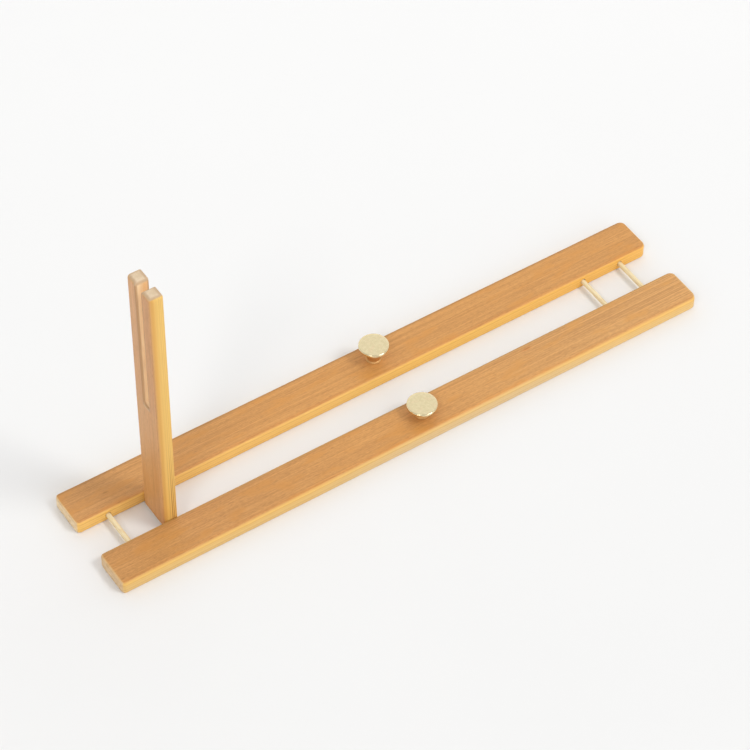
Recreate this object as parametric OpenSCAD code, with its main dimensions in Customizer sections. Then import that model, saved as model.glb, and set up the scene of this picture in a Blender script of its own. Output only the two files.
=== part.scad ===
// Folding bamboo display easel: two slats joined by thin dowels, a slotted leg that
// swings up between them on a dowel hinge, and a brass mushroom peg on each slat.
// Millimetres. +X runs along the slats from the hinge end, +Z is up, the slats rest on Z = 0.
// The leg is drawn standing square to the slats, which is joint position 0.

/* [Slats] */
// Length of each slat, along the grain
slat_len = 240; // [180:1:300]
// Width of each slat, across the grain
slat_w = 15.5; // [12:0.1:20]
// Thickness of each slat
slat_t = 5.2; // [5.1:0.1:7]
// Clear gap between the two slats
slat_gap = 15.1; // [12:0.1:22]
// Radius of a slat's corners, seen from above
slat_corner_r = 2.2; // [1:0.1:4]
// Radius of the eased edges of slats and leg
edge_r = 0.6; // [0.3:0.1:1]

/* [Dowels] */
// Diameter of every dowel
dowel_d = 2; // [1.6:0.1:2.4]
// Depth of the blind hole that holds each end of a dowel
dowel_seat = 8; // [4:0.5:10]
// Diameter of the holes in the slats, drilled a little wide and filled with glue
hole_d = 2.5; // [2.5:0.1:2.8]
// How far the dowels sit below the middle of their holes
dowel_sag = 0.2; // [0:0.05:0.2]
// Distance of the stop dowel from the hinge end of the slats
stop_inset = 12.1; // [8:0.1:18]
// Distance of the hinge dowel from the hinge end of the slats
hinge_inset = 28.2; // [24:0.1:40]
// Distance of the outer spacer dowel from the far end of the slats
outer_spacer_inset = 12.3; // [8:0.1:18]
// Distance of the inner spacer dowel from the far end of the slats
inner_spacer_inset = 28.7; // [22:0.1:40]

/* [Leg] */
// Width of the leg, which fits between the slats
leg_w = 14.5; // [11:0.1:20]
// Thickness of the leg
leg_t = 5.1; // [4:0.1:5.1]
// Height of the leg's free end when it stands square to the slats
leg_top = 114.4; // [80:0.1:140]
// Distance from the hinge axis down to the end of the heel
heel_drop = 2.2; // [1.8:0.1:2.4]
// How far the leg sits towards the front slat, within its side play
leg_shift = 0.2; // [0:0.1:0.2]
// Radial clearance of the hinge dowel in the leg
hinge_clearance = 0.08; // [0.02:0.01:0.1]
// Width of the slot in the leg's free end
slot_w = 3.4; // [2:0.1:5]
// Depth of the slot from the leg's free end
slot_depth = 57; // [20:1:75]
// Radius in the two corners at the bottom of the slot
slot_corner_r = 1; // [0.5:0.1:1.5]

/* [Pegs] */
// Distance of the pegs from the slats' mid-length, towards the far end
peg_offset = 5.6; // [0:0.1:20]
// How far the pegs sit behind their slats' middle lines
peg_shift = 0.7; // [0:0.1:1.5]
// Height of the top of the back peg's head above its slat
back_peg_rise = 7.2; // [5:0.1:12]
// Height of the top of the front peg's head above its slat, which is driven in deeper
front_peg_rise = 5.1; // [5:0.1:12]
// Diameter of the peg's head
head_d = 11; // [8:0.1:14]
// Thickness of the head at its rim
head_t = 1.2; // [0.8:0.1:2]
// Diameter of the neck
neck_d = 5; // [4:0.1:7]
// Diameter of the foot that sits on the slat
foot_d = 5.8; // [5:0.1:7]
// Diameter of the spigot that is fixed in the slat
spigot_d = 3; // [2:0.1:3.6]
// Length of the spigot below the foot
spigot_len = 3.4; // [2:0.1:3.8]

/* [Hidden] */
$fn = 48;

slat_y = (slat_gap + slat_w) / 2;
dowel_z = slat_t / 2;
dowel_len = slat_gap + 2 * dowel_seat;
stop_x = -slat_len / 2 + stop_inset;
hinge_x = -slat_len / 2 + hinge_inset;
inner_spacer_x = slat_len / 2 - inner_spacer_inset;
outer_spacer_x = slat_len / 2 - outer_spacer_inset;
leg_len = leg_top - dowel_z + heel_drop;
foot_t = 0.5;
flare = 0.7;
bevel = 0.3;
over = 1;

// A rectangle with round corners, centred.
module round_rect(x, y, r) {
    square([x - 2 * r, y], center = true);
    square([x, y - 2 * r], center = true);
    for (sx = [-1, 1], sy = [-1, 1])
        translate([sx * (x / 2 - r), sy * (y / 2 - r)]) circle(r = r);
}

// A flat bar along X, centred, with every edge eased and its own corner radius in plan.
module eased_bar(len, width, thick, corner_r) {
    intersection() {
        linear_extrude(height = thick + 2 * over, center = true)
            round_rect(len, width, corner_r);
        rotate([90, 0, 0])
            linear_extrude(height = width + 2 * over, center = true)
                round_rect(len, thick, edge_r);
        rotate([90, 0, 90])
            linear_extrude(height = len + 2 * over, center = true)
                round_rect(width, thick, edge_r);
    }
}

// A round bar along Y, centred.
module y_bar(d, len) {
    rotate([90, 0, 0]) cylinder(d = d, h = len, center = true);
}

// A slat, centred across its width; inner is +1 or -1, the side that faces the other slat.
module slat(inner) {
    difference() {
        translate([0, 0, slat_t / 2])
            eased_bar(slat_len, slat_w, slat_t, slat_corner_r);
        for (x = [stop_x, hinge_x, inner_spacer_x, outer_spacer_x])
            translate([x, inner * (slat_w / 2 - dowel_seat / 2 + over / 2), dowel_z + dowel_sag])
                y_bar(hole_d, dowel_seat + over);
        translate([peg_offset, peg_shift, slat_t - spigot_len])
            cylinder(d = spigot_d + 0.1, h = spigot_len + over);
    }
}

// The slot's outline: open at the free end, small radii at the bottom.
module slot_shape() {
    translate([0, slot_corner_r])
        translate([-slot_w / 2, 0]) square([slot_w, slot_depth + over]);
    translate([-slot_w / 2 + slot_corner_r, 0])
        square([slot_w - 2 * slot_corner_r, slot_corner_r]);
    for (s = [-1, 1])
        translate([s * (slot_w / 2 - slot_corner_r), slot_corner_r]) circle(r = slot_corner_r);
}

// One dowel that bridges the two slats.
module dowel(x) {
    color([0.93, 0.85, 0.66])
        translate([x, 0, dowel_z]) y_bar(dowel_d, dowel_len);
}

// A turned peg standing at the origin: spigot, foot, neck and flat head with a bevelled rim.
module peg(rise) {
    rim_z = rise - head_t;
    rotate_extrude() polygon([
        [0, -spigot_len], [spigot_d / 2, -spigot_len], [spigot_d / 2, 0],
        [foot_d / 2, 0], [foot_d / 2, foot_t], [neck_d / 2, foot_t],
        [neck_d / 2, rim_z - flare], [head_d / 2 - bevel, rim_z], [head_d / 2, rim_z + bevel],
        [head_d / 2, rise - bevel], [head_d / 2 - bevel, rise], [0, rise]
    ]);
}

module back_slat() {
    color([0.84, 0.61, 0.38])
        translate([0, slat_y, 0]) slat(-1);
}

module front_slat() {
    color([0.82, 0.59, 0.36])
        translate([0, -slat_y, 0]) slat(1);
}

module leg() {
    color([0.8, 0.6, 0.42])
        translate([hinge_x, -leg_shift, 0])
            difference() {
                translate([0, 0, leg_top - leg_len / 2])
                    rotate([0, 90, 0]) eased_bar(leg_len, leg_w, leg_t, edge_r);
                translate([0, 0, leg_top - slot_depth])
                    rotate([90, 0, 90])
                        linear_extrude(height = leg_t + 2 * over, center = true) slot_shape();
                translate([0, 0, dowel_z])
                    y_bar(dowel_d + 2 * hinge_clearance, leg_w + 2 * over);
            }
}

module hinge_dowel() { dowel(hinge_x); }
module stop_dowel() { dowel(stop_x); }
module inner_spacer_dowel() { dowel(inner_spacer_x); }
module outer_spacer_dowel() { dowel(outer_spacer_x); }

module back_peg() {
    color([0.88, 0.83, 0.66])
        translate([peg_offset, slat_y + peg_shift, slat_t]) peg(back_peg_rise);
}

module front_peg() {
    color([0.88, 0.83, 0.66])
        translate([peg_offset, peg_shift - slat_y, slat_t]) peg(front_peg_rise);
}

back_slat();
front_slat();
leg();
hinge_dowel();
stop_dowel();
inner_spacer_dowel();
outer_spacer_dowel();
back_peg();
front_peg();
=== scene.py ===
"""Looks of the folding bamboo display easel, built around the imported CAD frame.

Lengths are metres unless a name ends in _mm. +X runs along the slats from the hinge end,
-Y is the front, +Z is up. A plank's own directions are called grain (along the fibres),
width and depth (through its thickness).
"""
import math

import bmesh
import bpy
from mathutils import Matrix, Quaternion, Vector, noise


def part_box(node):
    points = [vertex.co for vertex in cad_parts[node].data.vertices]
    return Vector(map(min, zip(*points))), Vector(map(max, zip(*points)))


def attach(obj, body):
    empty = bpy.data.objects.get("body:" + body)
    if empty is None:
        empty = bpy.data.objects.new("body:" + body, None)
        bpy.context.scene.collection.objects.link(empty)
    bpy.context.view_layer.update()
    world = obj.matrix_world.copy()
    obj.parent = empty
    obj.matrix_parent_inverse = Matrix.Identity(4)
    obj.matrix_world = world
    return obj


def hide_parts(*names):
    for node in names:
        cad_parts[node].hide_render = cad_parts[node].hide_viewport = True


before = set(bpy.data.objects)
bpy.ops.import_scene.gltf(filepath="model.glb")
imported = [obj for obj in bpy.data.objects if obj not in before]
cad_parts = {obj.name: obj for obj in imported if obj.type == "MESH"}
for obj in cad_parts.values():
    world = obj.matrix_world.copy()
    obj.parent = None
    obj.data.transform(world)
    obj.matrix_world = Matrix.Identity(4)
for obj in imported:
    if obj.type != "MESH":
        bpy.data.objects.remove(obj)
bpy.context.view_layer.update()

MM = 0.001

# Shape of the planks.
# Corner radii are seen in plan, at a plank's low and high end. Edge radii go round a
# cross-section: high width and depth, low width, both low, high width. End radii ease the
# low and the high broad face.
SLAT_CORNER_R = (1.6 * MM, 2.6 * MM)
BACK_EDGE_R = (0.55 * MM, 0.85 * MM, 0.65 * MM, 0.65 * MM)
FRONT_EDGE_R = (0.55 * MM, 1.25 * MM, 0.65 * MM, 0.65 * MM)
SLAT_END_R = (0.65 * MM, 0.75 * MM)
LEG_CORNER_R = (0.9 * MM, 1.1 * MM)
LEG_EDGE_R = (0.6 * MM, 0.6 * MM, 1.6 * MM, 1.1 * MM)
LEG_END_R = (1.3 * MM, 0.6 * MM)
EDGE_R_CHANGE = 0.18  # how much the hand-sanded edge radius varies along a plank
PLANING = 0.05 * MM  # deepest unevenness left by the plane
STATION = 3.0 * MM  # spacing of the cross-sections along a plank
CORNER_STEPS = 8
EDGE_STEPS = 5

# Holes and slot.
SLAT_HOLE_R = 1.05 * MM  # what the glue leaves open of the drilled hole
SLAT_HOLE_RISE = 0.1 * MM  # how far the hole's middle is above the dowel's
HOLE_DEPTH = 8.0 * MM
LEG_HOLE_R = 1.08 * MM
HOLE_RIM = 0.12 * MM
HOLE_SIDES = 40
SLOT_W = 3.4 * MM
SLOT_DEPTH = 57.0 * MM
SLOT_CORNER_R = 1.4 * MM
SLOT_RIM = 0.5 * MM
SLOT_MOUTH_R = 1.3 * MM

# Dowel.
DOWEL_TIP = 0.25 * MM  # how far the ends are rounded over
DOWEL_SIDES = 28
DOWEL_STEPS = 60

# Brass peg.
SPIGOT_R = 1.5 * MM
SPIGOT_TIP = 0.3 * MM
HEAD_T = 1.2 * MM
HEAD_RIM_R = 0.42 * MM
NECK_R = 2.5 * MM
NECK_FILLET = 0.9 * MM  # where the neck curves out under the head
FOOT_R = 2.9 * MM
FOOT_T = 0.5 * MM
PEG_SIDES = 96

# Floor.
FLOOR_SIZE = 6.0
FLOOR_DROP = 0.0001  # keeps the floor just under the flat faces that rest on it
GLOW_MM = (500.0, 2300.0)  # distances between which the far floor starts to glow
GLOW = 0.37

# Camera, aimed as the object is seen in the reference view.
CAMERA_AZIMUTH = -33.86
CAMERA_ELEVATION = 48.52
CAMERA_ROLL = 0.58
CAMERA_DISTANCE = 1.0963
CAMERA_TARGET = (0.0042, 0.0129, 0.0)
CAMERA_LENS_MM = 148.37
SENSOR_MM = 36.0

# Light, in units where 1 is the light of a white floor under an all-white dome.
DOME = (0.34, 0.77, 0.98, 0.52)  # height (sine) where the fade starts and ends, and its strengths


# ---------------------------------------------------------------- meshes

def new_object(name, bm, material, smooth_angle=40.0):
    """A mesh object in the row frame, smooth except across edges sharper than the angle."""
    bmesh.ops.recalc_face_normals(bm, faces=bm.faces[:])
    mesh = bpy.data.meshes.new(name)
    bm.to_mesh(mesh)
    bm.free()
    for polygon in mesh.polygons:
        polygon.use_smooth = True
    mesh.set_sharp_from_angle(angle=math.radians(smooth_angle))
    if material is not None:
        mesh.materials.append(material)
    obj = bpy.data.objects.new(name, mesh)
    bpy.context.collection.objects.link(obj)
    return obj


def skin_loops(bm, loops):
    """Joins rings of equal length with quads, and caps the two ends."""
    rings = [[bm.verts.new(p) for p in loop] for loop in loops]
    for ring, following in zip(rings, rings[1:]):
        for i in range(len(ring)):
            j = (i + 1) % len(ring)
            bm.faces.new((ring[i], ring[j], following[j], following[i]))
    bm.faces.new(rings[0])
    bm.faces.new(rings[-1])


def quarter(radius, inset):
    """How far a rounded corner of this radius has drawn in at a distance inset from its end."""
    if inset >= radius:
        return 0.0
    return radius - math.sqrt(max(radius ** 2 - (radius - inset) ** 2, 0.0))


def plank_stations(length, corner_r, end_r):
    """Distances along a plank: close together round the ends, evenly spaced between."""
    ends = {0.0}
    for radius in (*corner_r, *end_r):
        for i in range(1, CORNER_STEPS + 1):
            ends.add(round(radius * (1 - math.cos(math.pi / 2 * i / CORNER_STEPS)), 6))
    ends = sorted(ends)
    count = max(2, round((length - 2 * ends[-1]) / STATION))
    middle = [ends[-1] + (length - 2 * ends[-1]) * i / count for i in range(1, count)]
    return ends + middle + [length - d for d in reversed(ends)]


def section(half_w, low_d, high_d, edge_r, wide_steps=10, deep_steps=4):
    """A rounded rectangle, as (width, depth) points, with extra points along its flat sides."""
    corners = []
    for radius, (sw, sd, start) in zip(edge_r, ((1, 1, 0), (-1, 1, 90), (-1, -1, 180), (1, -1, 270))):
        cw = sw * (half_w - radius)
        cd = high_d - radius if sd > 0 else low_d + radius
        turn = [math.radians(start + 90 * i / EDGE_STEPS) for i in range(EDGE_STEPS + 1)]
        corners.append([(cw + radius * math.cos(a), cd + radius * math.sin(a)) for a in turn])
    points = []
    for k, corner in enumerate(corners):
        points += corner
        steps = wide_steps if k % 2 == 0 else deep_steps
        last, first = corner[-1], corners[(k + 1) % 4][0]
        for i in range(1, steps):
            t = i / steps
            points.append((last[0] + (first[0] - last[0]) * t, last[1] + (first[1] - last[1]) * t))
    return points


def plank_mesh(lo, hi, axes, corner_r, edge_r, end_r, seed):
    """A hand-finished plank that fills the box from lo to hi; axes are grain, width, depth."""
    grain, width, depth = axes
    centre = [(a + b) / 2 for a, b in zip(lo, hi)]
    length, full_w, full_d = (hi[k] - lo[k] for k in axes)
    loops = []
    for g in plank_stations(length, corner_r, end_r):
        from_end = min(g, length - g)
        corner = corner_r[0] if g < length / 2 else corner_r[1]
        wave_w = noise.noise(Vector((g * 30, seed, 0.0)))
        wave_d = noise.noise(Vector((g * 22, seed, 5.0)))
        rough = noise.noise(Vector((g * 160, seed, 9.0)))
        half_w = full_w / 2 - quarter(corner, from_end) - PLANING * (0.5 + 0.5 * wave_w)
        half_d = full_d / 2 - PLANING * 0.4 * (0.5 + 0.5 * wave_d)
        low_d, high_d = quarter(end_r[0], from_end) - half_d, half_d - quarter(end_r[1], from_end)
        change = 1 + EDGE_R_CHANGE * (0.7 * wave_w + 0.3 * rough)
        loop = []
        for w, d in section(half_w, low_d, high_d, [r * change for r in edge_r]):
            p = list(centre)
            p[grain] = lo[grain] + g
            p[width] += w
            p[depth] += d
            loop.append(p)
        loops.append(loop)
    bm = bmesh.new()
    skin_loops(bm, loops)
    return bm


def lathe(profile, sides, axis_point, axis=2, wobble=None):
    """Turns (radius, height) points round an axis; the first and last points may be on it."""
    across = [k for k in range(3) if k != axis]
    loops = []
    for radius, height in profile:
        ring = []
        for i in range(sides):
            a = 2 * math.pi * i / sides
            r = radius if wobble is None else radius * wobble(a, height)
            p = list(axis_point)
            p[across[0]] += r * math.cos(a)
            p[across[1]] += r * math.sin(a)
            p[axis] += height
            ring.append(p)
        loops.append(ring)
    bm = bmesh.new()
    skin_loops(bm, loops)
    return bm


def arc(centre_r, centre_z, radius, start, end, steps):
    """Points of an arc in a turned profile, angles in degrees from straight outwards."""
    turn = [math.radians(start + (end - start) * i / steps) for i in range(steps + 1)]
    return [(centre_r + radius * math.cos(a), centre_z + radius * math.sin(a)) for a in turn]


def cut(obj, cutter_meshes):
    """Takes each cutter away from the object's mesh."""
    for bm in cutter_meshes:
        tool = new_object("tool", bm, None)
        step = obj.modifiers.new("cut", "BOOLEAN")
        step.operation = "DIFFERENCE"
        step.solver = "EXACT"
        step.object = tool
        graph = bpy.context.evaluated_depsgraph_get()
        result = bpy.data.meshes.new_from_object(obj.evaluated_get(graph))
        obj.modifiers.clear()
        old = obj.data
        obj.data = result
        result.name = obj.name
        bpy.data.meshes.remove(old)
        bpy.data.objects.remove(tool)


def keep_flats_flat(obj):
    """Big faces set the normals, so the eased edges shade as soft rounds beside true flats."""
    obj.data.set_sharp_from_angle(angle=math.radians(40))
    step = obj.modifiers.new("flats", "WEIGHTED_NORMAL")
    step.mode = "FACE_AREA"
    step.weight = 60
    step.keep_sharp = True


def hole_cutter(radius, axis_point, start, end, open_ends):
    """A drill along Y from start to end, flared a little where it breaks through a face."""
    profile = []
    for y, is_open, outward in ((start, open_ends[0], -1), (end, open_ends[1], 1)):
        if not is_open:
            points = [(radius * 0.02, y), (radius, y)]
        else:
            far = y + outward * 4 * HOLE_RIM
            points = [(radius * 0.02, far), (radius + 3 * HOLE_RIM, far), (radius + HOLE_RIM, y)]
            points += [(radius + HOLE_RIM * 0.3, y - outward * HOLE_RIM * 0.4)]
            points += [(radius, y - outward * HOLE_RIM)]
        profile += points if outward < 0 else points[::-1]
    return lathe(profile, HOLE_SIDES, (axis_point[0], 0.0, axis_point[1]), axis=1)


def slot_cutter(lo, hi):
    """A saw slot through the leg's thickness, round at the bottom corners, eased at every rim."""
    middle_y = (lo[1] + hi[1]) / 2
    floor_z = hi[2] - SLOT_DEPTH
    mouth_z = hi[2] - SLOT_MOUTH_R

    def outline(grow):
        half = SLOT_W / 2 + grow
        r = SLOT_CORNER_R + grow
        low = floor_z - grow
        side = []
        for i in range(9):
            a = math.radians(-90 + 90 * i / 8)
            side.append((half - r + r * math.cos(a), low + r + r * math.sin(a)))
        for i in range(7):
            a = math.radians(90 * i / 6)
            side.append((half + SLOT_MOUTH_R * (1 - math.cos(a)), mouth_z + SLOT_MOUTH_R * math.sin(a)))
        side.append((half + SLOT_MOUTH_R * 1.3, hi[2] + 2 * SLOT_MOUTH_R))
        return [(-y, z) for y, z in reversed(side)] + side

    levels = [(lo[0] - 3 * SLOT_RIM, 2.0 * SLOT_RIM)]
    for i in range(7):
        a = math.radians(90 * i / 6)
        levels.append((lo[0] + SLOT_RIM * (1 - math.cos(a)), SLOT_RIM * (1 - math.sin(a))))
    levels += [(lo[0] + hi[0] - x, grow) for x, grow in reversed(levels)]
    loops = [[(x, middle_y + y, z) for y, z in outline(grow)] for x, grow in levels]
    bm = bmesh.new()
    skin_loops(bm, loops)
    return bm


# ---------------------------------------------------------------- materials

class Shader:
    """A small helper that keeps node graphs readable."""

    def __init__(self, name):
        self.material = bpy.data.materials.new(name)
        self.material.use_nodes = True
        self.tree = self.material.node_tree
        self.surface = self.tree.nodes["Principled BSDF"]

    def put(self, value, socket):
        if isinstance(value, bpy.types.NodeSocket):
            self.tree.links.new(value, socket)
        else:
            socket.default_value = value

    def node(self, kind, inputs=(), **settings):
        made = self.tree.nodes.new("ShaderNode" + kind)
        for key, value in settings.items():
            setattr(made, key, value)
        for key, value in dict(inputs).items():
            self.put(value, made.inputs[key])
        return made

    def math(self, operation, a, b=0.0, c=0.0, clamp=False):
        made = self.node("Math", {0: a, 1: b, 2: c}, operation=operation, use_clamp=clamp)
        return made.outputs[0]

    def step(self, value, low, high, to_low=0.0, to_high=1.0):
        made = self.node(
            "MapRange",
            {"Value": value, "From Min": low, "From Max": high, "To Min": to_low, "To Max": to_high},
            interpolation_type="SMOOTHSTEP",
        )
        return made.outputs["Result"]

    def mix(self, factor, a, b, blend="MIX"):
        made = self.node("Mix", {"Factor": factor}, data_type="RGBA", blend_type=blend)
        self.put(a, made.inputs[6])
        self.put(b, made.inputs[7])
        return made.outputs[2]

    def noise(self, vector, detail=3.0, roughness=0.55):
        made = self.node(
            "TexNoise",
            {"Vector": vector, "Scale": 1.0, "Detail": detail, "Roughness": roughness},
        )
        return made.outputs["Fac"]

    def vector(self, x, y, z):
        return self.node("CombineXYZ", {0: x, 1: y, 2: z}).outputs[0]

    def bump(self, height, strength, distance):
        made = self.node("Bump", {"Height": height, "Strength": strength, "Distance": distance})
        self.put(made.outputs[0], self.surface.inputs["Normal"])

    def coordinates_mm(self, centre):
        """Object coordinates in millimetres, counted from the piece's centre."""
        place = self.node("TexCoord").outputs["Object"]
        shift = self.node("VectorMath", {0: place, 1: tuple(-c for c in centre)}, operation="ADD")
        scaled = self.node("VectorMath", {0: shift.outputs[0]}, operation="SCALE")
        scaled.inputs["Scale"].default_value = 1000.0
        split = self.node("SeparateXYZ", {0: scaled.outputs[0]})
        return [split.outputs[k] for k in range(3)]


def rgb(r, g, b):
    return (r, g, b, 1.0)


class Bamboo(Shader):
    """Carbonised bamboo: fibres along the grain, paler cut sides, end grain, worn edges.

    Places are millimetres from the middle of the plank: g along it, w across, d through it.
    """

    def __init__(self, name, lo, hi, axes, seed, tones):
        super().__init__(name)
        self.tones = tones
        self.seed = seed
        place = self.coordinates_mm([(a + b) / 2 for a, b in zip(lo, hi)])
        self.g, self.w, self.d = (place[k] for k in axes)
        self.half = [(hi[k] - lo[k]) / 2 / MM for k in axes]
        self.moved_g = self.math("ADD", self.g, seed * 371.0)
        self.far = [self.math("ABSOLUTE", place[k]) for k in axes]

    def fibre(self, along, across, detail, roughness=0.55, offset=0.0):
        """Noise drawn out along the grain; along and across are how fine it is, per mm."""
        v = self.vector(
            self.math("MULTIPLY", self.moved_g, along),
            self.math("MULTIPLY_ADD", self.w, across, offset + self.seed * 17.3),
            self.math("MULTIPLY_ADD", self.d, across, offset),
        )
        return self.noise(v, detail, roughness)

    def scaled(self, colour, factor, tint):
        """The colour times the tint, by as much as the factor says."""
        return self.mix(factor, colour, tint, blend="MULTIPLY")

    def shaded(self, colour, place, changes):
        """Gentle changes of tone: each starts and ends at a place, and has the tint it ends on."""
        for start, end, tint in changes:
            colour = self.scaled(colour, self.step(place, start, end), tint)
        return colour

    def face(self):
        """The broad faces: fine fibres, soft bands, warm blotches and short dark pores."""
        t = self.tones
        tone = self.math("MULTIPLY_ADD", self.math("SUBTRACT", self.streaks, 0.5), t["streak"], 0.5)
        tone = self.math("MULTIPLY_ADD", self.math("SUBTRACT", self.hairs, 0.5), t["hair"], tone)
        flecks = self.math("SUBTRACT", self.fibre(0.75, 3.4, 1.0, 0.5, 240.0), 0.5)
        tone = self.math("MULTIPLY_ADD", flecks, t["fleck"], tone)
        comb = self.step(self.fibre(0.006, 1.6, 1.0, 0.4, 200.0), 0.46, 0.64, -0.35, 0.65)
        start, end, strength = t["comb"]
        where = self.step(self.math("MULTIPLY_ADD", self.w, 8.0, self.g), start, end, 0.0, strength)
        tone = self.math("MULTIPLY_ADD", comb, where, tone)
        bands = self.fibre(0.010, 0.75, 2.0, 0.5, 120.0)
        tone = self.math("MULTIPLY_ADD", self.math("SUBTRACT", bands, 0.5), t["band"], tone, clamp=True)
        colour = self.mix(tone, t["face_dark"], t["face_light"])
        blotch = self.fibre(0.075, 0.24, 2.0, 0.5, 160.0)
        colour = self.mix(self.step(blotch, 0.50, 0.70, 0.0, 0.8), colour, t["face_warm"])
        colour = self.mix(self.math("MULTIPLY", self.pores, t["pore_depth"]), colour, t["pore"])
        # Tones along the plank are partly painted light falloff and shade, partly the wood's own tone.
        colour = self.shaded(colour, self.g, t["along"])
        colour = self.shaded(colour, self.w, t["across"])
        for g, w, long, wide, tint in t["marks"]:
            away_g = self.math("MULTIPLY", self.math("SUBTRACT", self.g, g), 1.0 / long)
            away_w = self.math("MULTIPLY", self.math("SUBTRACT", self.w, w), 1.0 / wide)
            away = self.math("SQRT", self.math(
                "ADD", self.math("MULTIPLY", away_g, away_g), self.math("MULTIPLY", away_w, away_w)))
            away = self.math("MULTIPLY_ADD", self.hairs, 0.8, self.math("SUBTRACT", away, 0.4))
            colour = self.scaled(colour, self.step(away, 1.2, 0.2), tint)
        return colour

    def side(self):
        """The cut sides, where the layers of the strip show as long soft lines."""
        t = self.tones
        layers = self.noise(
            self.vector(
                self.math("MULTIPLY", self.moved_g, 0.005),
                self.math("MULTIPLY_ADD", self.w, 0.02, self.seed * 3.1),
                self.math("MULTIPLY", self.d, 0.9),
            ),
            2.0, 0.5,
        )
        colour = self.mix(self.step(layers, 0.30, 0.68), t["side_dark"], t["side_light"])
        grain = self.math("MULTIPLY_ADD", self.math("SUBTRACT", self.hairs, 0.5), 1.2, 0.25, clamp=True)
        colour = self.mix(grain, colour, t["side_dark"])
        for middle, thick, depth, above in t["lines"]:
            away = self.math("ABSOLUTE", self.math("SUBTRACT", self.d, middle))
            wander = self.math("MULTIPLY", self.math("SUBTRACT", self.streaks, 0.5), thick * 0.6)
            line = self.step(self.math("ADD", away, wander), thick, thick * 0.3, 0.0, depth)
            fade = self.step(self.g, above, above - 40.0, t["line_above"], 1.0)
            colour = self.mix(self.math("MULTIPLY", line, fade), colour, t["line"])
        # Tones through the depth; the front slat's paler, bluer lower side is partly painted bounce light
        # from the floor.
        colour = self.shaded(colour, self.d, t["side_through"])
        return self.shaded(colour, self.g, t["side_along"])

    def end(self):
        """The ends: the same fibres seen end on, as dots in pale pith."""
        t = self.tones
        dots = self.noise(
            self.vector(self.math("MULTIPLY", self.w, 3.2), self.math("MULTIPLY", self.d, 3.2),
                        self.seed + 2.0),
            2.0, 0.5,
        )
        soft = self.noise(
            self.vector(self.math("MULTIPLY", self.w, 0.6), self.math("MULTIPLY", self.d, 0.6),
                        self.seed + 5.0),
            1.0, 0.5,
        )
        colour = self.mix(self.step(dots, 0.52, 0.70, 0.0, 0.6), t["end_light"], t["end_dark"])
        colour = self.mix(self.step(soft, 0.40, 0.65, 0.0, 0.5), colour, t["end_dark"])
        edge = self.math("MAXIMUM", self.step(self.far[1], self.half[1] - 1.6, self.half[1] - 0.6),
                         self.step(self.far[2], self.half[2] - 1.5, self.half[2] - 0.6))
        if self.slotted:
            mouth = self.step(self.far[1], SLOT_W / 2 / MM + 1.0, SLOT_W / 2 / MM + 0.3)
            edge = self.math("MAXIMUM", edge, mouth)
        return self.mix(self.math("MULTIPLY", edge, t["end_edge_depth"]), colour, t["end_edge"])

    def slot(self, colour):
        """The saw cut shows fresh pale bamboo with painted warm bounce light towards its +X face, and a
        darker, slightly scorched rim.
        """
        t = self.tones
        low = self.half[0] - SLOT_DEPTH / MM
        in_slot = self.step(self.g, low - 0.9, low - 0.3)
        wall = self.math("MULTIPLY", in_slot, self.step(self.far[1], SLOT_W / 2 / MM + 0.22,
                                                         SLOT_W / 2 / MM + 0.04))
        cut = self.mix(self.step(self.hairs, 0.35, 0.65), t["cut_dark"], t["cut_light"])
        # Painted warm bounce light: the slot wall turns a deeper orange towards the +X face.
        cut = self.mix(self.step(self.d, -1.4, 0.8, 0.0, 0.85), cut, t["cut_far"])
        rim = self.math(
            "MULTIPLY",
            self.math("MULTIPLY", in_slot, self.step(self.far[1], SLOT_W / 2 / MM + 0.95,
                                                     SLOT_W / 2 / MM + 0.45)),
            self.step(self.far[2], self.half[2] - 1.0, self.half[2] - 0.35),
        )
        colour = self.mix(wall, colour, cut)
        return self.mix(self.math("MULTIPLY", rim, 0.75), colour, t["scorch"])

    def outline(self, corner_r):
        """Where the cut sides and ends begin, seen in plan, and where side turns into end."""
        high = self.math("GREATER_THAN", self.g, 0.0)
        r = self.math("MULTIPLY_ADD", high, (corner_r[1] - corner_r[0]) / MM, corner_r[0] / MM)
        past_g, past_w = (
            self.math("MAXIMUM", self.math("ADD", self.math("SUBTRACT", self.far[k], self.half[k]), r), 0.0)
            for k in (0, 1)
        )
        square = self.math("ADD", self.math("MULTIPLY", past_g, past_g),
                           self.math("MULTIPLY", past_w, past_w))
        away = self.math("SQRT", square)
        towards_end = self.math("DIVIDE", past_g, self.math("ADD", away, 0.001))
        depth = self.math("SUBTRACT", r, away)
        return self.step(depth, self.tones["rim_width"], 0.12), self.step(towards_end, 0.65, 0.92)

    def finish(self, corner_r, slotted=False):
        t = self.tones
        self.slotted = slotted
        half_g, half_w, half_d = self.half
        far_w, far_d = self.far[1:]
        self.streaks = self.fibre(0.030, 2.6, 3.0)
        self.hairs = self.fibre(0.13, 6.0, 1.0, 0.5, 40.0)
        self.pores = self.step(self.fibre(0.36, 4.6, 1.0, 0.4, 80.0), 0.60, 0.74)
        on_rim, towards_end = self.outline(corner_r)
        on_end = self.math("MULTIPLY", on_rim, towards_end)
        if slotted:
            mouth = self.math("MULTIPLY", self.step(self.g, half_g - 1.5, half_g - 0.4),
                              self.step(far_w, SLOT_W / 2 / MM + 1.4, SLOT_W / 2 / MM + 1.0))
            on_end = self.math("MAXIMUM", on_end, mouth)
        colour = self.mix(on_rim, self.face(), self.side())
        if slotted:
            colour = self.slot(colour)
        colour = self.mix(on_end, colour, self.end())

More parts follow.
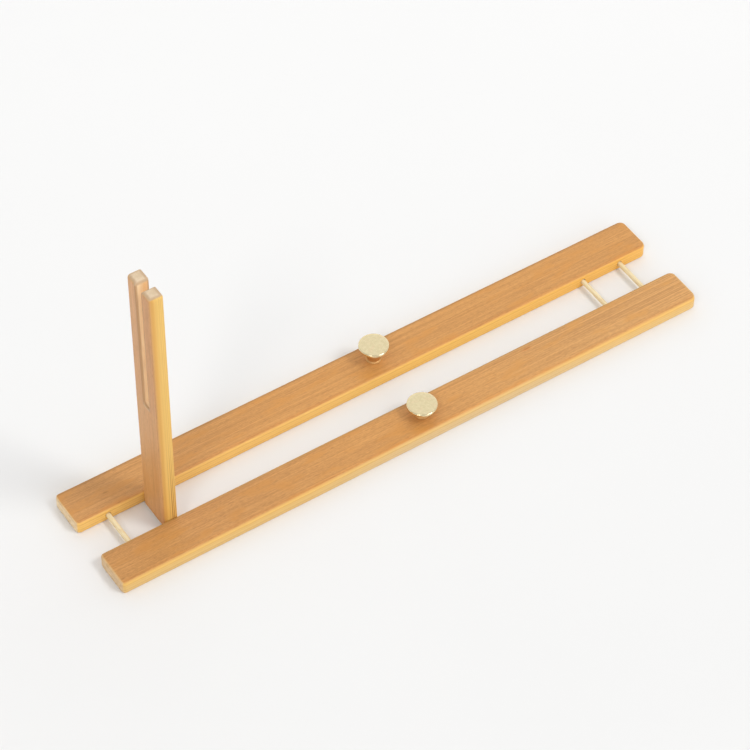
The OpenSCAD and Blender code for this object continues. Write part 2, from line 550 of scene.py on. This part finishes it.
        # Handling has rubbed the eased edges in places.
        near_edge = self.math(
            "MULTIPLY",
            self.step(far_w, half_w - 1.0, half_w - 0.2),
            self.step(far_d, half_d - 0.8, half_d - 0.1),
        )
        rub = self.step(self.fibre(0.10, 0.8, 3.0, 0.6, 7.0), 0.42, 0.62, 0.0, 0.6)
        rub = self.math("MULTIPLY", near_edge, rub)
        colour = self.mix(rub, colour, t["rub"])
        # Painted shade: the edge that is high in width and depth, the back top edge, is darkened.
        dull = self.math(
            "MULTIPLY",
            self.step(self.w, half_w - 1.0, half_w - 0.4),
            self.step(self.d, half_d - 1.0, half_d - 0.4),
        )
        colour = self.scaled(colour, dull, t["dull_edge"])
        self.put(colour, self.surface.inputs["Base Color"])

        roughness = self.math("MULTIPLY_ADD", self.streaks, -0.16, 0.56)
        roughness = self.math("MULTIPLY_ADD", on_end, 0.2, roughness)
        roughness = self.math("MULTIPLY_ADD", rub, 0.12, roughness, clamp=True)
        self.put(roughness, self.surface.inputs["Roughness"])
        self.surface.inputs["IOR"].default_value = 1.45
        relief = self.math("MULTIPLY_ADD", self.hairs, 0.6, self.streaks)
        relief = self.math("MULTIPLY_ADD", self.pores, -0.6, relief)
        self.bump(relief, 0.30, 0.00006)
        return self.material


def pale_dowel(name, centre, seed):
    """A split and rounded bamboo stick, left bare."""
    s = Shader(name)
    x, y, z = s.coordinates_mm(centre)
    v = s.vector(
        s.math("MULTIPLY_ADD", x, 3.0, seed * 11.0), s.math("MULTIPLY", y, 0.05), s.math("MULTIPLY", z, 3.0)
    )
    streaks = s.noise(v, 4.0, 0.6)
    colour = s.mix(s.step(streaks, 0.35, 0.70), rgb(0.79, 0.64, 0.36), rgb(0.88, 0.76, 0.50))
    smudge = s.noise(s.vector(x, s.math("MULTIPLY_ADD", y, 0.35, seed), z), 2.0, 0.5)
    colour = s.mix(s.step(smudge, 0.52, 0.75, 0.0, 0.55), colour, rgb(0.70, 0.50, 0.24))
    s.put(colour, s.surface.inputs["Base Color"])
    s.put(s.math("MULTIPLY_ADD", streaks, -0.2, 0.72), s.surface.inputs["Roughness"])
    s.bump(streaks, 0.4, 0.00005)
    return s.material


def brass(name, axis_x, axis_y, foot_z, head_z, seed):
    """Turned brass, lightly polished: fine rings, a little haze, duller below the head, and browner there
    from tarnish and a painted reflection of the wood.
    """
    s = Shader(name)
    x, y, z = s.coordinates_mm((axis_x, axis_y, foot_z))
    radius = s.math("SQRT", s.math("ADD", s.math("MULTIPLY", x, x), s.math("MULTIPLY", y, y)))
    haze = s.noise(s.vector(s.math("ADD", x, seed * 9.0), y, z), 2.5, 0.5)
    rings = s.noise(
        s.vector(s.math("MULTIPLY", radius, 7.0), s.math("MULTIPLY", z, 5.0), seed), 2.0, 0.6
    )
    colour = s.mix(s.step(haze, 0.32, 0.70), rgb(0.785, 0.668, 0.405), rgb(0.83, 0.715, 0.45))
    warm = s.noise(s.vector(s.math("MULTIPLY_ADD", x, 0.35, seed * 3.7), s.math("MULTIPLY", y, 0.35), 0.0))
    colour = s.mix(s.step(warm, 0.50, 0.72, 0.0, 0.45), colour, rgb(0.86, 0.66, 0.42))
    # Under the head and on the neck: tarnish, and a painted reflection of the wood.
    below = s.step(z, (head_z - HEAD_T) / MM + 0.1, (head_z - HEAD_T) / MM - 0.1)
    tarnish_and_wood_reflection = s.math("MULTIPLY", below, s.step(radius, 4.4, 3.0, 0.3, 0.9))
    colour = s.mix(tarnish_and_wood_reflection, colour, rgb(0.66, 0.385, 0.14))
    s.put(colour, s.surface.inputs["Base Color"])
    s.surface.inputs["Metallic"].default_value = 1.0
    roughness = s.math("MULTIPLY_ADD", haze, 0.14, 0.09)
    roughness = s.math("MULTIPLY_ADD", rings, 0.05, roughness)
    roughness = s.math("MULTIPLY_ADD", below, 0.34, roughness)
    s.put(roughness, s.surface.inputs["Roughness"])
    s.bump(s.math("MULTIPLY_ADD", haze, 0.3, rings), 0.07, 0.00003)
    return s.material


SLAT_TONES = {
    "streak": 1.7, "hair": 0.9, "band": 1.1, "fleck": 0.9,  # strengths of the grain
    "face_light": rgb(0.692, 0.339, 0.099),
    "face_dark": rgb(0.522, 0.242, 0.068),
    "face_warm": rgb(0.642, 0.288, 0.066),
    "pore": rgb(0.330, 0.140, 0.045), "pore_depth": 0.45,
    # Gentle changes of tone: where each starts and ends, in mm, and the tint it ends on.
    # Darker towards the hinge end: partly painted shade of the leg and of light falling off, partly the
    # wood's own tone.
    "along": ((-25.0, -112.0, rgb(0.93, 0.95, 1.06)),),
    "across": ((6.2, 7.2, rgb(0.86, 0.87, 0.90)), (-5.2, -7.4, rgb(1.03, 0.95, 0.84))),
    # Fine pale lines on the half that is high in width: where they start, are full, how strong.
    "comb": (0.0, 100.0, 0.0),
    "marks": (),  # place along and across, length, width and tint
    "side_light": rgb(0.850, 0.512, 0.116),
    "side_dark": rgb(0.775, 0.438, 0.084),
    "side_along": (), "side_through": (),
    # Dark layer lines: depth, half thickness, strength and the height where they fade.
    "lines": ((-0.9, 0.20, 0.50, 500.0), (0.35, 0.14, 0.30, 500.0), (1.35, 0.16, 0.42, 500.0)),
    "line": rgb(0.480, 0.240, 0.060), "line_above": 0.0,
    "end_light": rgb(0.825, 0.640, 0.395),
    "end_dark": rgb(0.625, 0.420, 0.220),
    "end_edge": rgb(0.560, 0.330, 0.130), "end_edge_depth": 0.25,
    # Painted shade: the next tint darkens the back top edge.
    "dull_edge": rgb(0.74, 0.70, 0.72),  # tint of the edge that is high in width and depth
    "rim_width": 0.6,  # over how much of the eased edge the face turns into the side
    "rub": rgb(0.760, 0.400, 0.110),
}
BACK_TONES = dict(SLAT_TONES)
BACK_TONES.update(
    streak=1.8, hair=0.95, fleck=1.2,
    marks=((-104.7, -0.6, 1.2, 0.5, rgb(0.80, 0.77, 0.75)),),
    side_along=((20.0, -20.0, rgb(0.98, 1.0, 1.18)), (50.0, 95.0, rgb(1.03, 0.97, 0.93))),
    side_light=rgb(0.895, 0.540, 0.124),
    side_dark=rgb(0.815, 0.462, 0.090),
)
FRONT_TONES = dict(SLAT_TONES)
FRONT_TONES.update(
    rim_width=0.95,
    streak=2.0, hair=1.2, fleck=1.5, comb=(35.0, 95.0, 1.0),
    # Darker towards the hinge end, lighter and yellower towards the far end: partly painted light falloff,
    # partly the wood's own tone.
    along=((-10.0, -75.0, rgb(0.91, 0.92, 0.98)), (-10.0, 90.0, rgb(1.02, 1.09, 1.26))),
    marks=((53.7, 5.4, 2.4, 0.7, rgb(0.94, 0.78, 0.65)),),
    side_light=rgb(0.755, 0.500, 0.178),
    side_dark=rgb(0.695, 0.432, 0.138),
    side_along=((-55.0, 5.0, rgb(0.98, 1.06, 1.46)), (35.0, 95.0, rgb(1.10, 1.01, 0.74))),
    # Golden towards the top, paler and bluer towards the bottom: partly painted floor bounce light, partly
    # the strip's own layers.
    side_through=((0.2, 1.9, rgb(1.03, 0.96, 0.74)), (0.2, -2.0, rgb(1.0, 1.03, 1.14))),
    rub=rgb(0.740, 0.385, 0.085),
    end_light=rgb(0.710, 0.510, 0.295),
    end_dark=rgb(0.535, 0.338, 0.165),
)
LEG_TONES = dict(SLAT_TONES)
LEG_TONES.update(
    # Painted shade along the leg's edge that is high in width and depth, lighter than on the slats.
    dull_edge=rgb(0.88, 0.86, 0.88),
    rim_width=1.1,
    face_light=rgb(0.665, 0.345, 0.148),
    face_dark=rgb(0.515, 0.252, 0.098),
    face_warm=rgb(0.605, 0.292, 0.112),
    # Darker and warmer towards the leg's low end: partly painted shade and warm bounce from the slats,
    # partly the wood's own tone.
    along=((5.0, -55.0, rgb(0.96, 0.88, 0.70)),),
    across=((-2.5, 3.0, rgb(1.06, 1.12, 1.22)),),
    side_light=rgb(0.790, 0.505, 0.138),
    side_dark=rgb(0.700, 0.415, 0.102),
    side_through=((-0.2, -1.8, rgb(0.97, 0.86, 0.80)), (0.0, 1.2, rgb(1.04, 1.06, 1.06))),
    lines=((-1.55, 0.45, 0.15, 20.0), (-0.15, 0.16, 0.55, 0.0), (0.70, 0.26, 1.0, -8.0),
           (1.30, 0.24, 1.0, -8.0), (1.90, 0.20, 0.9, -8.0)),
    line=rgb(0.400, 0.185, 0.045), line_above=0.20,
    cut_light=rgb(0.960, 0.755, 0.490),
    cut_dark=rgb(0.880, 0.645, 0.390),
    # Painted warm bounce light on the slot wall towards the +X face.
    cut_far=rgb(0.800, 0.470, 0.200),
    scorch=rgb(0.420, 0.225, 0.095),
    end_light=rgb(0.720, 0.565, 0.390),
    end_dark=rgb(0.600, 0.445, 0.270),
    end_edge=rgb(0.450, 0.275, 0.145), end_edge_depth=0.6,
)


# ---------------------------------------------------------------- pieces

def add_piece(obj, body, node):
    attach(obj, body)
    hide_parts(node)


def make_slat(node, inner, edge_r, seed, tones):
    """A slat; inner is +1 or -1, the side where the dowels go in."""
    lo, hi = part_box(node)
    material = Bamboo(node + "_bamboo", lo, hi, (0, 1, 2), seed, tones).finish(SLAT_CORNER_R)
    bm = plank_mesh(lo, hi, (0, 1, 2), SLAT_CORNER_R, edge_r, SLAT_END_R, seed)
    obj = new_object(node + "_planed", bm, material)
    mouth = hi[1] if inner > 0 else lo[1]
    cutters = []
    for dowel in ("stop_dowel", "hinge_dowel", "inner_spacer_dowel", "outer_spacer_dowel"):
        d_lo, d_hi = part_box(dowel)
        axis = ((d_lo[0] + d_hi[0]) / 2, (d_lo[2] + d_hi[2]) / 2 + SLAT_HOLE_RISE)
        ends = sorted((mouth, mouth - inner * HOLE_DEPTH))
        open_ends = (inner < 0, inner > 0)
        cutters.append(hole_cutter(SLAT_HOLE_R, axis, ends[0], ends[1], open_ends))
    cut(obj, cutters)
    keep_flats_flat(obj)
    add_piece(obj, "frame", node)


def make_leg():
    lo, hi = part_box("leg")
    material = Bamboo("leg_bamboo", lo, hi, (2, 1, 0), 4.0, LEG_TONES).finish(LEG_CORNER_R, True)
    bm = plank_mesh(lo, hi, (2, 1, 0), LEG_CORNER_R, LEG_EDGE_R, LEG_END_R, 4.0)
    obj = new_object("leg_slotted", bm, material)
    d_lo, d_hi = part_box("hinge_dowel")
    axis = ((d_lo[0] + d_hi[0]) / 2, (d_lo[2] + d_hi[2]) / 2)
    cut(obj, [slot_cutter(lo, hi), hole_cutter(LEG_HOLE_R, axis, lo[1], hi[1], (True, True))])
    keep_flats_flat(obj)
    add_piece(obj, "leg", "leg")


def make_dowel(node, girth, taper, seed):
    """A thin stick, not quite round, that ends inside the two slats and is thinner at the back."""
    lo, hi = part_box(node)
    centre = [(a + b) / 2 for a, b in zip(lo, hi)]
    radius, half = (hi[0] - lo[0]) / 2, (hi[1] - lo[1]) / 2
    tip = DOWEL_TIP
    profile = [(radius * 0.05, -half), (radius - tip, -half)]
    profile += [(radius - tip * 0.3, -half + tip * 0.3), (radius, -half + tip)]
    for i in range(1, DOWEL_STEPS):
        profile.append((radius, -half + tip + (2 * half - 2 * tip) * i / DOWEL_STEPS))
    profile += [(r, -y) for r, y in reversed(profile[:4])]

    def wobble(angle, height):
        at = Vector((math.cos(angle) * 0.9, math.sin(angle) * 0.9, height * 60 + seed * 7))
        flats = Vector((math.cos(angle) * 2.6, math.sin(angle) * 2.6, height * 12 + seed))
        return girth - taper * height / half + 0.025 * noise.noise(at) + 0.02 * noise.noise(flats)

    material = pale_dowel(node + "_stick", centre, seed)
    bm = lathe(profile, DOWEL_SIDES, centre, axis=1, wobble=wobble)
    obj = new_object(node + "_stick", bm, material, 60)
    add_piece(obj, "frame", node)


def make_peg(node, seed):
    """A brass mushroom peg: spigot, foot, waisted neck, flared underside, round-edged flat head."""
    lo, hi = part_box(node)
    x, y = (lo[0] + hi[0]) / 2, (lo[1] + hi[1]) / 2
    slat_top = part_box("back_slat")[1][2]
    head_r, top = (hi[0] - lo[0]) / 2, hi[2] - slat_top
    rim, under, bottom = HEAD_RIM_R, top - HEAD_T, lo[2] - slat_top
    profile = [(SPIGOT_R * 0.05, bottom), (SPIGOT_R * 0.8, bottom)]
    profile += [(SPIGOT_R, bottom + SPIGOT_TIP), (SPIGOT_R, 0.0)]
    profile += [(FOOT_R - 0.1 * MM, 0.0)]
    profile += arc(FOOT_R - 0.15 * MM, 0.15 * MM, 0.15 * MM, -60, 60, 4)
    profile += [(NECK_R + 0.25 * MM, FOOT_T - 0.08 * MM)]
    profile += arc(NECK_R + 0.35 * MM, FOOT_T + 0.32 * MM, 0.35 * MM, 265, 180, 5)
    fillet = NECK_FILLET
    profile += arc(NECK_R + fillet, under - fillet - 0.15 * MM, fillet, 180, 96, 8)
    profile += [(head_r * 0.75, under - 0.08 * MM)]
    profile += arc(head_r - rim, under + rim, rim, -80, 0, 6)
    profile += arc(head_r - rim, top - rim, rim, 0, 84, 8)
    profile += [(head_r * 0.82, top - 0.004 * MM), (head_r * 0.5, top), (head_r * 0.01, top)]
    material = brass(node + "_brass", x, y, slat_top, top, seed)
    bm = lathe(profile, PEG_SIDES, (x, y, slat_top))
    obj = new_object(node + "_turned", bm, material, 50)
    add_piece(obj, "frame", node)


# ---------------------------------------------------------------- stage, light, camera

def make_floor():
    """A plain white sweep that melts into the backdrop, with painted light falloff: its colour is a touch
    brighter towards the back.
    """
    s = Shader("studio_floor")
    x, y = s.coordinates_mm((0.0, 0.0, 0.0))[:2]
    cloud = s.noise(s.vector(s.math("MULTIPLY", x, 0.01), s.math("MULTIPLY", y, 0.01), 0.0), 3.0)
    # Painted light falloff: the floor's colour is darker at the front and lighter at the back.
    front = s.mix(cloud, rgb(0.808, 0.808, 0.805), rgb(0.826, 0.826, 0.823))
    back = s.mix(cloud, rgb(0.880, 0.880, 0.877), rgb(0.895, 0.895, 0.892))
    s.put(s.mix(s.step(y, -250.0, 300.0), front, back), s.surface.inputs["Base Color"])
    radius = s.math("SQRT", s.math("ADD", s.math("MULTIPLY", x, x), s.math("MULTIPLY", y, y)))
    s.surface.inputs["Emission Color"].default_value = rgb(1.0, 1.0, 1.0)
    s.put(s.step(radius, *GLOW_MM, 0.0, GLOW), s.surface.inputs["Emission Strength"])
    s.surface.inputs["Roughness"].default_value = 0.8
    s.surface.inputs["Specular IOR Level"].default_value = 0.2
    bm = bmesh.new()
    bmesh.ops.create_grid(bm, x_segments=8, y_segments=8, size=FLOOR_SIZE)
    obj = new_object("floor", bm, s.material)
    obj.location.z = -FLOOR_DROP


def soft_light(name, share, azimuth, elevation, distance, size, colour):
    """A round soft box aimed at the object; share is the part of the floor's light it gives."""
    up = math.radians(elevation)
    flat = Vector((azimuth[0], azimuth[1], 0.0)).normalized() * math.cos(up)
    place = (flat + Vector((0.0, 0.0, math.sin(up)))) * distance
    data = bpy.data.lights.new(name, "AREA")
    data.shape = "DISK"
    data.size = size
    data.energy = share * (math.pi * distance) ** 2 / math.sin(up)
    data.color = colour
    obj = bpy.data.objects.new(name, data)
    obj.location = place
    obj.rotation_euler = (-place).to_track_quat("-Z", "Y").to_euler()
    obj.visible_camera = False
    bpy.context.collection.objects.link(obj)


def make_world():
    """An even studio dome, brighter round the horizon than overhead."""
    world = bpy.data.worlds.new("studio")
    world.use_nodes = True
    tree = world.node_tree
    sky = tree.nodes["Background"]
    sky.inputs["Color"].default_value = rgb(1.0, 1.0, 1.0)
    direction = tree.nodes.new("ShaderNodeTexCoord")
    split = tree.nodes.new("ShaderNodeSeparateXYZ")
    fade = tree.nodes.new("ShaderNodeMapRange")
    fade.interpolation_type = "SMOOTHSTEP"
    for key, value in zip(("From Min", "From Max", "To Min", "To Max"), DOME):
        fade.inputs[key].default_value = value
    tree.links.new(direction.outputs["Generated"], split.inputs[0])
    tree.links.new(split.outputs["Z"], fade.inputs["Value"])
    tree.links.new(fade.outputs["Result"], sky.inputs["Strength"])
    bpy.context.scene.world = world


def make_light():
    make_world()
    soft_light("softbox_key", 0.245, (0.58, -0.81), 53, 2.6, 0.82, (1.0, 0.995, 0.985))
    soft_light("softbox_left", 0.094, (-0.83, -0.55), 45, 2.0, 0.48, (1.0, 0.995, 0.985))
    soft_light("softbox_back", 0.125, (0.555, 0.832), 48, 1.2, 1.5, (1.0, 1.0, 1.0))
    soft_light("fill_front", 0.035, (0.1, -1.0), 25, 2.5, 1.8, (1.0, 0.995, 0.985))


def make_camera():
    a, e = math.radians(CAMERA_AZIMUTH), math.radians(CAMERA_ELEVATION)
    back = Vector((math.sin(a) * math.cos(e), -math.cos(a) * math.cos(e), math.sin(e)))
    data = bpy.data.cameras.new("camera")
    data.sensor_width = SENSOR_MM
    data.lens = CAMERA_LENS_MM
    data.clip_start = 0.05
    data.clip_end = 20.0
    obj = bpy.data.objects.new("camera", data)
    obj.location = Vector(CAMERA_TARGET) + back * CAMERA_DISTANCE
    roll = Quaternion((0.0, 0.0, 1.0), math.radians(CAMERA_ROLL))
    obj.rotation_euler = ((-back).to_track_quat("-Z", "Y") @ roll).to_euler()
    bpy.context.collection.objects.link(obj)
    bpy.context.scene.camera = obj


make_camera()
make_slat("back_slat", -1, BACK_EDGE_R, 1.0, BACK_TONES)
make_slat("front_slat", 1, FRONT_EDGE_R, 2.0, FRONT_TONES)
make_leg()
make_dowel("hinge_dowel", 0.92, 0.0, 1.0)
make_dowel("stop_dowel", 0.93, 0.05, 2.0)
make_dowel("inner_spacer_dowel", 0.87, 0.01, 3.0)
make_dowel("outer_spacer_dowel", 0.90, 0.02, 4.0)
make_peg("back_peg", 1.0)
make_peg("front_peg", 2.0)
make_floor()
make_light()
bpy.context.scene.view_settings.view_transform = "Standard"
